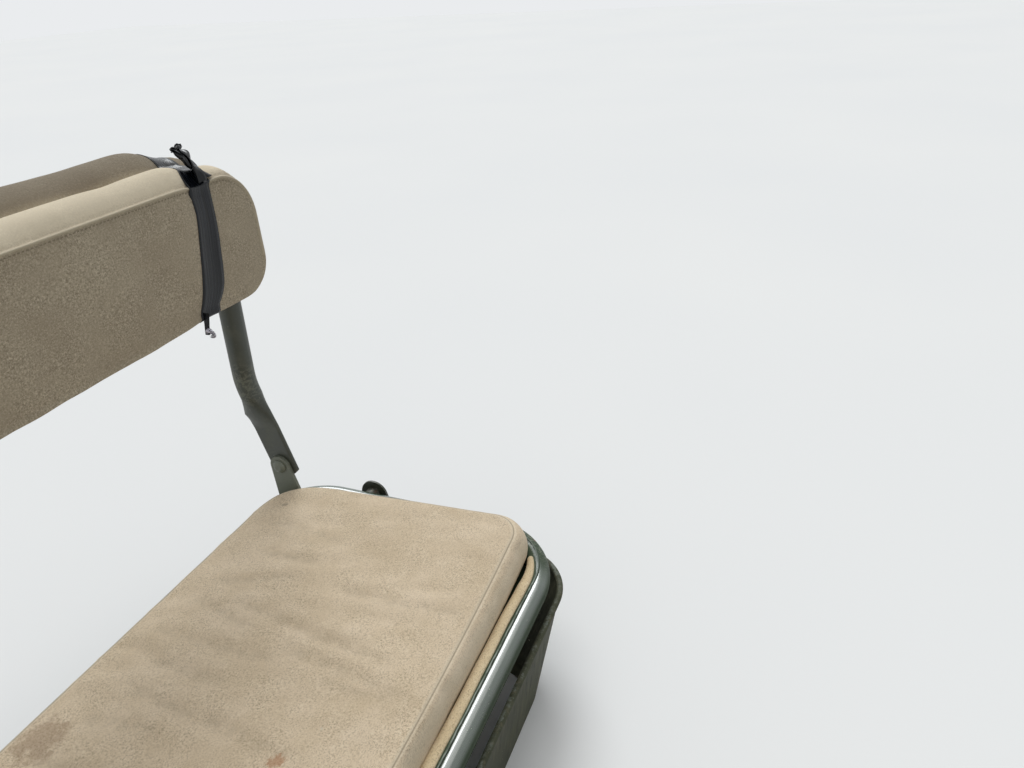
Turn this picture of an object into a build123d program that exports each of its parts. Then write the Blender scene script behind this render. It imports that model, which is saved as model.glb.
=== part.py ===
"""Folding rear bench seat of a small open military 4x4, in millimetres.

The seat faces -Y, +X is its left, +Z is up and the load floor is z = 0. The origin is on the floor, in the
middle between the four floor bolts, straight below the pivot axis. A tube ring carries a sheet pan, a box
cushion and a front leg panel. It swings up about two stubs held in floor stands. A tube hoop with a padded
backrest folds forwards about two rivets in lug plates on the ring.
"""
import os
from math import atan2, cos, degrees, radians, sin, sqrt

from build123d import *

# Seat ring
tube_d = 25.4                # ring tube, outside
ring_width = 874.0           # over the tubes
ring_front_y = -283.5        # centre line of the front tube
ring_rear_y = 121.0          # centre line of the rear tube
ring_z = 144.0               # centre line above the floor
ring_front_bend = 100.0      # bend radii on the centre line
ring_rear_bend = 80.0

# Pan, its lip on the tube, and the channels under it
pan_sheet = 1.2
pan_drop = 5.4               # pan's upper face below the tube's centre line
lip_gap = 0.1                # paint between lip and tube
lip_low_angle = -28.0        # lip's ends round the tube, from level inwards
lip_high_angle = 72.0
drain_d = 12.0
drain_x = (-300.0, 0.0, 300.0)
drain_spacing_y = 230.0
rib_x = (-260.0, -130.0, 130.0, 260.0)
rib_length = 250.0
rib_width = 22.0
rib_depth = 3.0
channel_x = 200.0
channel_width = 30.0
channel_depth = 12.0
channel_sheet = 1.5

# Front leg panel and the tabs that carry it
leg_sheet = 1.5
leg_drop = 27.0              # centre of the wired edge below the tube's
leg_forward = 18.5           # outer face at the top in front of the tube's centre line
leg_side_out = 0.7           # outer face at the top outside the tube's centre line
leg_lean = 15.0              # the panel's foot stands this much further back
leg_side_lean = 80.0         # and this much further in on each side
leg_bend = 75.0              # corner radii at the top and at the foot
leg_foot_bend = 50.0
leg_wire_d = 8.0
leg_foot_width = 18.0
leg_side_top = 187.0         # length of the side walls, at the top and at the foot
leg_side_foot = 147.0
tab_width = 30.0
tab_sheet = 8.0
tab_high = 49.0              # from the tab's lower end to the tube's centre line
tab_front_x = 70.0
tab_side_back = 117.0        # side tabs behind the panel's front
tab_side_in = 2.0            # and inside the panel's top edge

# Floor stands and pivot stubs
stand_gap = 6.0              # between ring tube and stand
stand_sheet = 3.0
stand_head_r = 20.0
stand_foot_length = 110.0
stand_flange = 40.0
stand_bend = 3.0             # inside radius of the folded foot
floor_bolt_hole_d = 9.0
floor_bolt_in = 24.0         # bolt holes in from the stand's outer face
floor_bolt_spacing_y = 70.0
stub_d = 14.0
stub_fit = 0.05              # radial play of the stub in its stand
stub_past_stand = 6.0
shoulder_d = 22.0
side_play = 0.3              # between shoulder, washer and stand
washer_d = 22.0
washer_thick = 1.5

# Backrest pivot: rivets and lug plates
rivet_forward = 23.0         # rivet in front of the rear tube's centre line
rivet_above = 69.0           # and above it
rivet_d = 10.0
rivet_fit = 0.05
rivet_head_d = 19.0
rivet_head_high = 5.0
rivet_crown_d = 9.0          # flat on top of the head
lug_sheet = 4.0
lug_head_r = 15.0
lug_base_front = 48.0        # the lug's base on the pan starts this far in front of the tube's centre
lug_base_rear = 2.0          # and ends this far in front of it
lug_play = 0.4               # between lug, flattened tube end and rivet head
lug_notch = 1.0              # room round the lug in the pan's lip

# Backrest hoop
hoop_d = 28.0
hoop_inset = 38.3            # legs inside the side tubes' centre lines
hoop_bend_back = 31.0        # the leg's bend, behind and above the rivet
hoop_bend_above = 121.0
hoop_top_back = 20.0         # the top bar, behind and above the rivet
hoop_rise = 385.0
hoop_leg_radius = 90.0
hoop_corner_radius = 58.0
flat_thick = 6.0
flat_width = 40.0
flat_forward = 2.0           # the flattened end's centre line passes in front of the rivet
flat_from_bend = 20.0        # where the flattening starts, below the bend
flat_above_rivet = 58.0      # where it is fully flat
flat_below_rivet = 15.0
flat_corner = 9.0
kink_half_width = 21.5       # half pressed, on the way to the flat end
kink_back = 3.5              # its middle behind the leg's centre line

# Seat cushion, and the roll between it and the front tube, which lies up over the tube's inner shoulder
cushion_side_room = 27.8     # from the tube's centre line to the cushion's front half width
cushion_taper = 19.5         # each side runs in by this much towards the rear, clear of the lugs
cushion_front_room = 26.0
cushion_rear_room = 19.0
cushion_high = 50.0
cushion_front_corner = 45.0
cushion_rear_corner = 50.0
cushion_top_round = 12.0
cushion_foot_round = 6.0
cushion_gap = 0.4            # cushion above the pan
roll_into_bend = 25.0        # how far the roll runs into the ring's front bends
roll_short_of_top = 7.2      # its outer edge inside the tube's centre line
roll_above_tube = 15.0       # its top above the tube's centre line
roll_slope = 5.5             # the top corner at the cushion, cut off on a slope
roll_gap = 0.5               # between roll and cushion, and between roll and lip

# Backrest pad round the hoop, and the tape on it
pad_past_leg = 30.0          # pad's end beyond the hoop's leg
pad_in_front = 52.0          # faces in front of and behind the hoop's top bar
pad_behind = 48.0
pad_below_bar = 140.0
pad_seam_above_bar = 12.0    # where the front face ends in the front roll
pad_valley_back = -10.0      # valley between the rolls, from the top bar
pad_valley_above_bar = 19.0
pad_front_roll_above_bar = 28.0
pad_rear_roll_above_bar = 44.0
pad_foot_round = 20.0
pad_end_length = 14.0        # length over which the ends draw in
pad_end_draw = 8.0           # and by how much
pad_top_corner = 105.0       # corner radii seen from the front
pad_foot_corner = 35.0
pad_tube_room = 0.4
tape_from_end = 104.0
tape_width = 28.0
tape_thick = 0.8

# Places worked out from the sizes above
tube_r = tube_d / 2
ring_half_x = ring_width / 2 - tube_r
ring_middle_y = (ring_front_y + ring_rear_y) / 2
pan_top_z = ring_z - pan_drop
leg_half_width = ring_half_x + leg_side_out
leg_front_y = ring_front_y - leg_forward
leg_top_z = ring_z - leg_drop
stand_inner_x = ring_width / 2 + stand_gap
stand_outer_x = stand_inner_x + stand_sheet
floor_bolt_x = stand_outer_x - floor_bolt_in
rivet_y = ring_rear_y - rivet_forward
rivet_z = ring_z + rivet_above
hoop_x = ring_half_x - hoop_inset
hoop_top_y = rivet_y + hoop_top_back
hoop_top_z = rivet_z + hoop_rise
cushion_half_width = ring_half_x - cushion_side_room
cushion_front_y = ring_front_y + cushion_front_room
cushion_rear_y = ring_rear_y - cushion_rear_room
cushion_foot_z = pan_top_z + cushion_gap
roll_half_length = ring_half_x - ring_front_bend + roll_into_bend
pad_half_width = hoop_x + pad_past_leg
pad_front_y = hoop_top_y - pad_in_front
pad_rear_y = hoop_top_y + pad_behind
pad_valley_y = hoop_top_y + pad_valley_back
pad_foot_z = hoop_top_z - pad_below_bar
pad_seam_z = hoop_top_z + pad_seam_above_bar
pad_top_z = hoop_top_z + pad_rear_roll_above_bar
tape_x = pad_half_width - tape_from_end
sides = (("left", 1), ("right", -1))


def rounded_outline(half_width, front_y, rear_y, front_radius, rear_radius, z=0.0, taper=0.0):
    """Closed wire in plan, narrower at the rear by taper on each side, with its own corner radii."""
    rear_half = half_width - taper
    corners = [(-half_width, front_y, z), (half_width, front_y, z), (rear_half, rear_y, z), (-rear_half, rear_y, z)]
    return FilletPolyline(*corners, radius=[front_radius, front_radius, rear_radius, rear_radius], close=True)


def ring_outline(inset, z):
    """The ring's centre line moved inwards by inset, as a face at height z."""
    wire = rounded_outline(ring_half_x - inset, ring_front_y + inset, ring_rear_y - inset,
                           ring_front_bend - inset, ring_rear_bend - inset, z)
    return make_face(wire)


def block(low, high):
    """Box between two corners."""
    size = [h - l for l, h in zip(low, high)]
    middle = [(h + l) / 2 for l, h in zip(low, high)]
    return Pos(*middle) * Box(*size)


def rod_x(radius, x0, x1, y, z):
    """Round bar along X."""
    return Pos((x0 + x1) / 2, y, z) * Rot(0, 90, 0) * Cylinder(radius, abs(x1 - x0))


def plate_x(face_yz, x0, x1):
    """Plate whose outline is drawn in Y and Z, from x0 to x1."""
    return extrude(Pos(x0, 0, 0) * (Plane.YZ * face_yz), x1 - x0, dir=(1, 0, 0))


def swept(section, path):
    """A section carried along a path, set square to the path's start."""
    return sweep(Plane(origin=path @ 0, z_dir=path % 0, x_dir=(0, 0, 1)) * section, path=path)


def build_ring():
    return swept(Circle(tube_r), rounded_outline(ring_half_x, ring_front_y, ring_rear_y,
                                                  ring_front_bend, ring_rear_bend, ring_z))


def build_pan():
    """Flat floor with pressed ribs and drain holes, and a lip that lies on the tube all round."""
    inner_r = tube_r + lip_gap
    outer_r = inner_r + pan_sheet
    low, high = radians(lip_low_angle), radians(lip_high_angle)
    floor_inset = (inner_r + outer_r) / 2 * cos(low)
    floor = extrude(ring_outline(floor_inset, pan_top_z - pan_sheet), pan_sheet)
    for x in rib_x:
        outline = Pos(x, ring_middle_y, pan_top_z - pan_sheet) * Rot(0, 0, 90) * SlotOverall(rib_length, rib_width)
        floor -= extrude(outline, pan_sheet)
        tray = extrude(Pos(0, 0, -rib_depth) * outline, rib_depth + pan_sheet)
        inside = Pos(x, ring_middle_y, pan_top_z - rib_depth) * Rot(0, 0, 90) * SlotOverall(
            rib_length - 2 * pan_sheet, rib_width - 2 * pan_sheet)
        floor += tray - extrude(inside, rib_depth)
    for x in drain_x:
        for way in (-1, 1):
            floor -= Pos(x, ring_middle_y + way * drain_spacing_y / 2, pan_top_z) * Cylinder(drain_d / 2, 4 * pan_sheet)
    pan = floor + lip_band(inner_r, outer_r, low, high)
    for _, side in sides:
        x0, x1 = lug_span(side)
        pan -= block((min(x0, x1) - lug_notch, lug_base_y() - lug_base_front - lug_notch, pan_top_z),
                     (max(x0, x1) + lug_notch, ring_rear_y + tube_d, rivet_z))
    return pan


def lip_band(inner_r, outer_r, low, high):
    """The lip: a part ring round the tube's upper inner side, carried along the ring."""
    path = rounded_outline(ring_half_x, ring_front_y, ring_rear_y, ring_front_bend, ring_rear_bend, ring_z)
    middle = (low + high) / 2
    inner = ThreePointArc(*[(inner_r * sin(a), -inner_r * cos(a)) for a in (low, middle, high)])
    outer = ThreePointArc(*[(outer_r * sin(a), -outer_r * cos(a)) for a in (low, middle, high)])
    section = make_face([inner, outer, Line(inner @ 0, outer @ 0), Line(inner @ 1, outer @ 1)])
    return swept(section, path)


def build_channels(ring):
    """Two U channels under the pan, from the front tube to the rear tube."""
    top = pan_top_z - pan_sheet
    channels = Part()
    for x in (-channel_x, channel_x):
        outside = block((x - channel_width / 2, ring_front_y, top - channel_depth),
                        (x + channel_width / 2, ring_rear_y, top))
        inside = block((x - channel_width / 2 + channel_sheet, ring_front_y, top - channel_depth + channel_sheet),
                       (x + channel_width / 2 - channel_sheet, ring_rear_y, top))
        channels += outside - inside - ring
    return channels


def leg_section(z, inset):
    """Plan outline of the leg panel at height z, moved inwards by inset; it leans in towards the floor."""
    share = (leg_top_z - z) / leg_top_z
    bend = leg_bend + (leg_foot_bend - leg_bend) * share - inset
    wire = rounded_outline(leg_half_width - leg_side_lean * share - inset, leg_front_y + leg_lean * share + inset,
                           ring_rear_y, bend, bend, z)
    return make_face(wire)


def build_leg_panel():
    """Leaning sheet wrapped round both front corners, with a wired top edge and a turned-in foot."""
    outside = loft([leg_section(0, 0), leg_section(leg_top_z, 0)])
    inside = loft([leg_section(0, leg_sheet), leg_section(leg_top_z, leg_sheet)])
    foot = extrude(leg_section(0, 0), leg_sheet) - extrude(leg_section(0, leg_foot_width), leg_sheet)
    panel = (outside - inside) + (foot & outside)
    half = leg_half_width - leg_sheet / 2
    front = leg_front_y + leg_sheet / 2
    side_top_y = leg_front_y + leg_side_top
    rear_cut = make_face(Polyline((leg_front_y + leg_side_foot, 0), (side_top_y, leg_top_z + leg_wire_d),
                                  (2 * ring_width, leg_top_z + leg_wire_d), (2 * ring_width, 0), close=True))
    panel -= plate_x(rear_cut, -ring_width, ring_width)
    edge = FilletPolyline((half, side_top_y, leg_top_z), (half, front, leg_top_z), (-half, front, leg_top_z),
                          (-half, side_top_y, leg_top_z), radius=leg_bend - leg_sheet / 2)
    return panel + swept(Circle(leg_wire_d / 2), edge)


def build_leg_tabs(ring, panel):
    """Welded plates between tube and leg panel: two at the front, one on each side."""
    front = leg_front_y + leg_sheet
    side_y = leg_front_y + tab_side_back
    low_z = ring_z - tab_high
    tabs = Part()
    for _, side in sides:
        x = side * tab_front_x
        tabs += between(block((x - tab_width / 2, front, low_z), (x + tab_width / 2, front + tab_sheet, ring_z)),
                        ring, panel)
        outer = side * (leg_half_width - leg_sheet - tab_side_in)
        inner = outer - side * tab_sheet
        tabs += between(block((min(inner, outer), side_y - tab_width / 2, low_z),
                              (max(inner, outer), side_y + tab_width / 2, ring_z)), ring, panel)
    return tabs


def between(piece, ring, panel):
    """The main part of what the tube and the panel leave of a plate."""
    return (piece - ring - panel).solids().sort_by(SortBy.VOLUME)[-1]


def build_stub(side, ring):
    """Shouldered stub welded square on the side tube."""
    tube_x = side * ring_half_x
    stub = rod_x(stub_d / 2, tube_x, side * (stand_outer_x + stub_past_stand), 0, ring_z)
    shoulder = rod_x(shoulder_d / 2, tube_x, side * (stand_inner_x - side_play), 0, ring_z)
    return (stub + shoulder) - ring


def build_washers():
    washers = Part()
    x0 = stand_outer_x + side_play
    for _, side in sides:
        washers += (rod_x(washer_d / 2, side * x0, side * (x0 + washer_thick), 0, ring_z)
                    - rod_x(stub_d / 2, side * x0, side * (x0 + washer_thick), 0, ring_z))
    return washers


def build_stand(side):
    """Folded plate: an upright with a round head for the stub, and a foot with two bolt holes."""
    foot_y = stand_foot_length / 2
    rise = stand_sheet + stand_bend
    outer_x = stand_outer_x
    head = Pos(0, ring_z) * Circle(stand_head_r)
    base = Pos(0, rise + stand_sheet / 2) * Rectangle(stand_foot_length, stand_sheet)
    upright = plate_x(make_hull(head.edges() + base.edges()), stand_inner_x, outer_x)
    bend = Pos(outer_x - rise, 0, rise) * Rot(90, 0, 0) * (
        Cylinder(rise, stand_foot_length) - Cylinder(stand_bend, stand_foot_length))
    bend &= block((outer_x - rise, -foot_y, 0), (outer_x, foot_y, rise))
    foot = block((outer_x - stand_flange, -foot_y, 0), (outer_x - rise, foot_y, stand_sheet))
    stand = upright + bend + foot
    stand -= rod_x(stub_d / 2 + stub_fit, stand_inner_x, outer_x, 0, ring_z)
    for way in (-1, 1):
        stand -= Pos(floor_bolt_x, way * floor_bolt_spacing_y / 2, 0) * Cylinder(floor_bolt_hole_d / 2, 4 * stand_sheet)
    return stand if side > 0 else mirror(stand, about=Plane.YZ)


def lug_span(side):
    """Inner and outer X of a lug plate, which stands just inboard of the hoop's flattened end."""
    outer = hoop_x - flat_thick / 2 - lug_play
    return side * (outer - lug_sheet), side * outer


def lug_base_y():
    """The rear tube's centre line at the lug, which may stand on the rear bend."""
    into_bend = max(0.0, lug_span(1)[1] - (ring_half_x - ring_rear_bend))
    return ring_rear_y - ring_rear_bend + sqrt(ring_rear_bend ** 2 - into_bend ** 2)


def build_lug(side, ring):
    """Plate with a round head at the rivet, widening forwards down to the pan, and welded to the tube."""
    x0, x1 = lug_span(side)
    head = Pos(rivet_y, rivet_z) * Circle(lug_head_r)
    base = Polyline((lug_base_y() - lug_base_front, pan_top_z), (lug_base_y() - lug_base_rear, pan_top_z))
    lug = plate_x(make_hull(head.edges() + base.edges()), x0, x1) - ring
    lug = lug.solids().sort_by(SortBy.VOLUME)[-1]
    return lug - rod_x(rivet_d / 2, x0, x1, rivet_y, rivet_z)


def build_rivet(side):
    """Shank through lug and tube end, with a domed head on each side."""
    x0 = abs(lug_span(side)[0])
    x1 = hoop_x + flat_thick / 2 + lug_play
    shank = rod_x(rivet_d / 2, x0, x1, rivet_y, rivet_z)
    heads = rivet_head(x0, -1) + rivet_head(x1, 1)
    return mirrored_to(side, shank + heads)


def rivet_head(x, way):
    """Domed head on a face at x, standing out towards way: two cones and a flat crown."""
    rim, crown = rivet_head_d / 2, rivet_crown_d / 2
    outline = Polyline((x, 0), (x, rim), (x + way * rivet_head_high / 3, rim),
                       (x + way * rivet_head_high * 4 / 5, (rim + crown) / 2),
                       (x + way * rivet_head_high, crown), (x + way * rivet_head_high, 0), close=True)
    return Pos(0, rivet_y, rivet_z) * revolve(make_face(outline), Axis.X)


def mirrored_to(side, shape):
    return shape if side > 0 else mirror(shape, about=Plane.YZ)


def lower_leg():
    """Foot and top of the hoop's straight lower leg: level with the rivet, and at the bend."""
    return (Vector(hoop_x, rivet_y - flat_forward, rivet_z),
            Vector(hoop_x, rivet_y + hoop_bend_back, rivet_z + hoop_bend_above))


def hoop_path():
    """Centre line of the hoop's round part, from one leg over the top to the other."""
    foot, bend = lower_leg()
    start = bend - (bend - foot).normalized() * flat_from_bend
    left = [tuple(start), tuple(bend), (hoop_x, hoop_top_y, hoop_top_z)]
    right = [(-x, y, z) for x, y, z in reversed(left)]
    return FilletPolyline(*left, *right, radius=[hoop_leg_radius, hoop_corner_radius,
                                                 hoop_corner_radius, hoop_leg_radius])


def flattened_leg(side):
    """The hoop's lower leg: round at its top, pressed flat round the rivet, with a cut and rounded tip."""
    foot, bend = lower_leg()
    along = (bend - foot).normalized()
    round_above = (bend - foot).length - flat_from_bend
    half_pressed = (Pos(0, kink_back) * Ellipse((hoop_d + flat_thick) / 4, kink_half_width),
                    (round_above + flat_above_rivet) / 2)
    sections = []
    for section, above in ((Circle(hoop_d / 2), round_above), half_pressed,
                           (Rot(0, 0, 90) * SlotOverall(flat_width, flat_thick), flat_above_rivet)):
        plane = Plane(origin=foot + along * above, x_dir=(1, 0, 0), z_dir=along)
        sections.append(plane * section)
    flat = extrude(sections[-1], flat_above_rivet + flat_below_rivet, dir=-along)
    tip_high = flat_above_rivet + flat_below_rivet
    tip = Pos(0, flat_above_rivet - tip_high / 2) * Rectangle(flat_width, tip_high)
    tip = fillet(tip.vertices().group_by(Axis.Y)[0], flat_corner)
    lean = degrees(atan2(bend.Y - foot.Y, bend.Z - foot.Z))
    flat &= plate_x(Pos(foot.Y, foot.Z) * Rot(0, 0, -lean) * tip, hoop_x - flat_thick, hoop_x + flat_thick)
    hole = rod_x(rivet_d / 2 + rivet_fit, hoop_x - hoop_d, hoop_x + hoop_d, rivet_y, rivet_z)
    return mirrored_to(side, loft(sections, ruled=True) + flat - hole)


def build_hoop():
    hoop = swept(Circle(hoop_d / 2), hoop_path())
    for _, side in sides:
        hoop += flattened_leg(side)
    return hoop


def build_cushion():
    """Box cushion, a little narrower at the rear, with rounded plan corners and soft top and bottom edges."""
    outline = make_face(rounded_outline(cushion_half_width, cushion_front_y, cushion_rear_y, cushion_front_corner,
                                        cushion_rear_corner, cushion_foot_z, cushion_taper))
    cushion = extrude(outline, cushion_high)
    edges = cushion.edges().group_by(Axis.Z)
    cushion = fillet(edges[-1], cushion_top_round)
    return fillet(cushion.edges().group_by(Axis.Z)[0], cushion_foot_round)


def build_front_roll():
    """Soft strip that fills the gap to the cushion and is laid up over the lip."""
    rear = cushion_front_y - roll_gap
    outer = ring_front_y + roll_short_of_top
    top = ring_z + roll_above_tube
    outline = Polyline((outer, cushion_foot_z), (rear, cushion_foot_z), (rear, top - roll_slope),
                       (rear - roll_slope, top), (outer, top), close=True)
    under = tube_r + lip_gap + pan_sheet + roll_gap
    path = rounded_outline(ring_half_x, ring_front_y, ring_rear_y, ring_front_bend, ring_rear_bend, ring_z)
    return plate_x(make_face(outline), -roll_half_length, roll_half_length) - swept(Circle(under), path)


def pad_profile(grow=0.0):
    """The pad's outline in Y and Z: upright faces, and two rolls with a valley on top."""
    front, rear, foot = pad_front_y - grow, pad_rear_y + grow, pad_foot_z - grow
    valley = (pad_valley_y, hoop_top_z + pad_valley_above_bar + grow)
    front_top = ((pad_front_y + pad_valley_y) / 2, hoop_top_z + pad_front_roll_above_bar + grow)
    rear_top = ((pad_rear_y + pad_valley_y) / 2, pad_top_z + grow)
    corner = pad_foot_round * (1 - sin(radians(45)))
    lines = [
        Line((front, foot + pad_foot_round), (front, pad_seam_z)),
        ThreePointArc((front, pad_seam_z), front_top, valley),
        ThreePointArc(valley, rear_top, (rear, pad_seam_z)),
        Line((rear, pad_seam_z), (rear, foot + pad_foot_round)),
        ThreePointArc((rear, foot + pad_foot_round), (rear - corner, foot + corner), (rear - pad_foot_round, foot)),
        Line((rear - pad_foot_round, foot), (front + pad_foot_round, foot)),
        ThreePointArc((front + pad_foot_round, foot), (front + corner, foot + corner), (front, foot + pad_foot_round)),
    ]
    return make_face(lines)


def pad_front_outline(grow=0.0):
    """The pad seen from the front: a long panel with large top corners and small lower ones."""
    half, foot, top = pad_half_width + grow, pad_foot_z - grow, pad_top_z + grow
    corners = [(half, foot), (half, top), (-half, top), (-half, foot)]
    radii = [pad_foot_corner, pad_top_corner, pad_top_corner, pad_foot_corner]
    return make_face(FilletPolyline(*corners, radius=radii, close=True))


def pad_body(half_length, grow=0.0):
    """The pad's outline carried along X, cut to its outline from the front."""
    body = plate_x(pad_profile(grow), -half_length, half_length)
    return body & extrude(Plane.XZ * pad_front_outline(grow), ring_width, both=True)


def build_pad():
    """Pad with round corners and drawn-in ends, and room inside for the hoop that it is pulled over."""
    square = pad_half_width - pad_end_length
    pad = plate_x(pad_profile(), -square, square)
    for _, side in sides:
        pad += loft([Pos(side * x, 0, 0) * (Plane.YZ * pad_profile(grow))
                     for x, grow in ((square, 0), (pad_half_width, -pad_end_draw))])
    pad &= extrude(Plane.XZ * pad_front_outline(), ring_width, both=True)
    return pad - swept(Circle(hoop_d / 2 + pad_tube_room), hoop_path())


def build_tape():
    """Tape wound once round the pad near its left end."""
    span = block((tape_x - tape_width / 2, -ring_width, 0), (tape_x + tape_width / 2, ring_width, 2 * pad_top_z))
    return (pad_body(pad_half_width, tape_thick) - pad_body(pad_half_width)) & span


ring = build_ring()
panel = build_leg_panel()
parts = {
    "seat_tube": ring,
    "seat_pan": build_pan(),
    "pan_channels": build_channels(ring),
    "leg_panel": panel,
    "leg_tabs": build_leg_tabs(ring, panel),
    "pivot_washers": build_washers(),
    "seat_cushion": build_cushion(),
    "front_roll": build_front_roll(),
    "back_hoop": build_hoop(),
    "back_cushion": build_pad(),
    "tape_band": build_tape(),
}
for name, side in sides:
    parts[f"stand_{name}"] = build_stand(side)
    parts[f"pivot_stub_{name}"] = build_stub(side, ring)
    parts[f"lug_{name}"] = build_lug(side, ring)
    parts[f"back_rivet_{name}"] = build_rivet(side)

os.makedirs("parts", exist_ok=True)
for name, shape in parts.items():
    export_step(shape, f"parts/{name}.step")
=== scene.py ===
"""Finishes of the folding rear bench seat: paints, canvas covers, tape and wear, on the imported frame.

Metres throughout. The seat faces -Y, +X is its left and z = 0 is the load floor, as in the frame.
"""

import bmesh
import bpy
import numpy as np
from mathutils import Matrix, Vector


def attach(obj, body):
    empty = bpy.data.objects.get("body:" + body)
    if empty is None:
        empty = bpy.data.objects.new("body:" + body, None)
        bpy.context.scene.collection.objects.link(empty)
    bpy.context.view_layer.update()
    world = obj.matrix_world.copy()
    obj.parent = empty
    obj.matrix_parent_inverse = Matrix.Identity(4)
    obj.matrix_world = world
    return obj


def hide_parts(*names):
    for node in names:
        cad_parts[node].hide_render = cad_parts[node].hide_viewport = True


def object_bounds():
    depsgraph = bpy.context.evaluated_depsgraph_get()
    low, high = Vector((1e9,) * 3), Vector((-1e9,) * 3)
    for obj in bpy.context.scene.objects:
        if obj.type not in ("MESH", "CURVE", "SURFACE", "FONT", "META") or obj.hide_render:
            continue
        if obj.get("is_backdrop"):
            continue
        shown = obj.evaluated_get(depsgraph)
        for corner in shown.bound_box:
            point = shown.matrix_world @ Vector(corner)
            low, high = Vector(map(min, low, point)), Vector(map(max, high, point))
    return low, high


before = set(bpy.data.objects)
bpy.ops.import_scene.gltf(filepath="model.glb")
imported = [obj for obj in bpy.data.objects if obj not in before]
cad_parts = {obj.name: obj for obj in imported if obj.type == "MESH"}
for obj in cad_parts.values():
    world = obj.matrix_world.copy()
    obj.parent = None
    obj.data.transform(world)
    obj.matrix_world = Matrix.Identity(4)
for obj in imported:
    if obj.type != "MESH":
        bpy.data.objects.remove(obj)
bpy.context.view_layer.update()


# Floor stands, pivot stubs and washers. Folded steel plates bolted to the load floor hold the two stubs
# that the seat turns on. All were sprayed olive together; the stubs and washers are rubbed bare where they
# turn.

def card(*rgb):
    """A colour read off a colour card, 0 to 255 each, as the linear numbers that a shader takes."""
    c = np.array(rgb) / 255
    return (*np.where(c < 0.04045, c / 12.92, ((c + 0.055) / 1.055) ** 2.4).tolist(), 1.0)


def fill(tree, node, inputs):
    """Fills a node's inputs, each from a value or from another node's output."""
    for key, value in inputs.items():
        if isinstance(value, bpy.types.NodeSocket):
            tree.links.new(value, node.inputs[key])
        else:
            node.inputs[key].default_value = value


def lay(tree, kind, inputs=(), out=0, **settings):
    """Adds a node to a material: sets its options, fills its inputs and returns one of its outputs."""
    node = tree.nodes.new("ShaderNode" + kind)
    for key, value in settings.items():
        setattr(node, key, value)
    fill(tree, node, dict(inputs))
    return node.outputs[out]


def sums(tree, kind, *values):
    """One step of arithmetic on one, two or three values."""
    return lay(tree, "Math", dict(enumerate(values)), operation=kind)


def times(tree, first, *others):
    """The product of two or more values."""
    for other in others:
        first = sums(tree, "MULTIPLY", first, other)
    return first


def plus(tree, first, *others):
    """The sum of two or more values."""
    for other in others:
        first = sums(tree, "ADD", first, other)
    return first


def ease(tree, value, low, high, bottom=0.0, top=1.0):
    """Smooth step: bottom below low, top above high, an S curve between."""
    return lay(tree, "MapRange", {0: value, 1: low, 2: high, 3: bottom, 4: top},
               interpolation_type="SMOOTHSTEP")


def clouds(tree, where, scale, detail=3.0, rough=0.55, bend=0.0):
    """Cloudy noise, about 0.5 in the mean; its spots are about one over scale metres across."""
    return lay(tree, "TexNoise", {"Vector": where, "Scale": scale, "Detail": detail, "Roughness": rough,
                                  "Distortion": bend})


def coat(tree, amount, under, top):
    """One colour over another, by an amount from 0 to 1."""
    return lay(tree, "Mix", {0: amount, 6: under, 7: top}, 2, data_type="RGBA")


def stretch(tree, where, x, y, z):
    """The same place with each axis scaled, so that a pattern on it runs long or short."""
    return lay(tree, "Mapping", {"Vector": where, "Scale": (x, y, z)})


def axis(tree, where, letter):
    """One coordinate of a place."""
    return lay(tree, "SeparateXYZ", {0: where}, letter)


def distance(tree, where, point):
    """How far a place is from a point."""
    return lay(tree, "VectorMath", {0: where, 1: point}, 1, operation="DISTANCE")


def new_finish(name):
    """An empty material: itself, its node tree, its shader, and the place on the piece in metres."""
    material = bpy.data.materials.new(name)
    material.use_nodes = True
    tree = material.node_tree
    return material, tree, tree.nodes["Principled BSDF"], lay(tree, "TexCoord", out="Object")


def sharp_edges(tree, radius, low=0.03, high=0.3):
    """1 on outside edges: one less the dot product of the true normal and the normal rounded over a
    radius."""
    rounded = lay(tree, "Bevel", {"Radius": radius}, samples=6)
    true = lay(tree, "NewGeometry", out="Normal")
    dot = lay(tree, "VectorMath", {0: rounded, 1: true}, 1, operation="DOT_PRODUCT")
    return ease(tree, sums(tree, "SUBTRACT", 1.0, dot), low, high)


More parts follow.
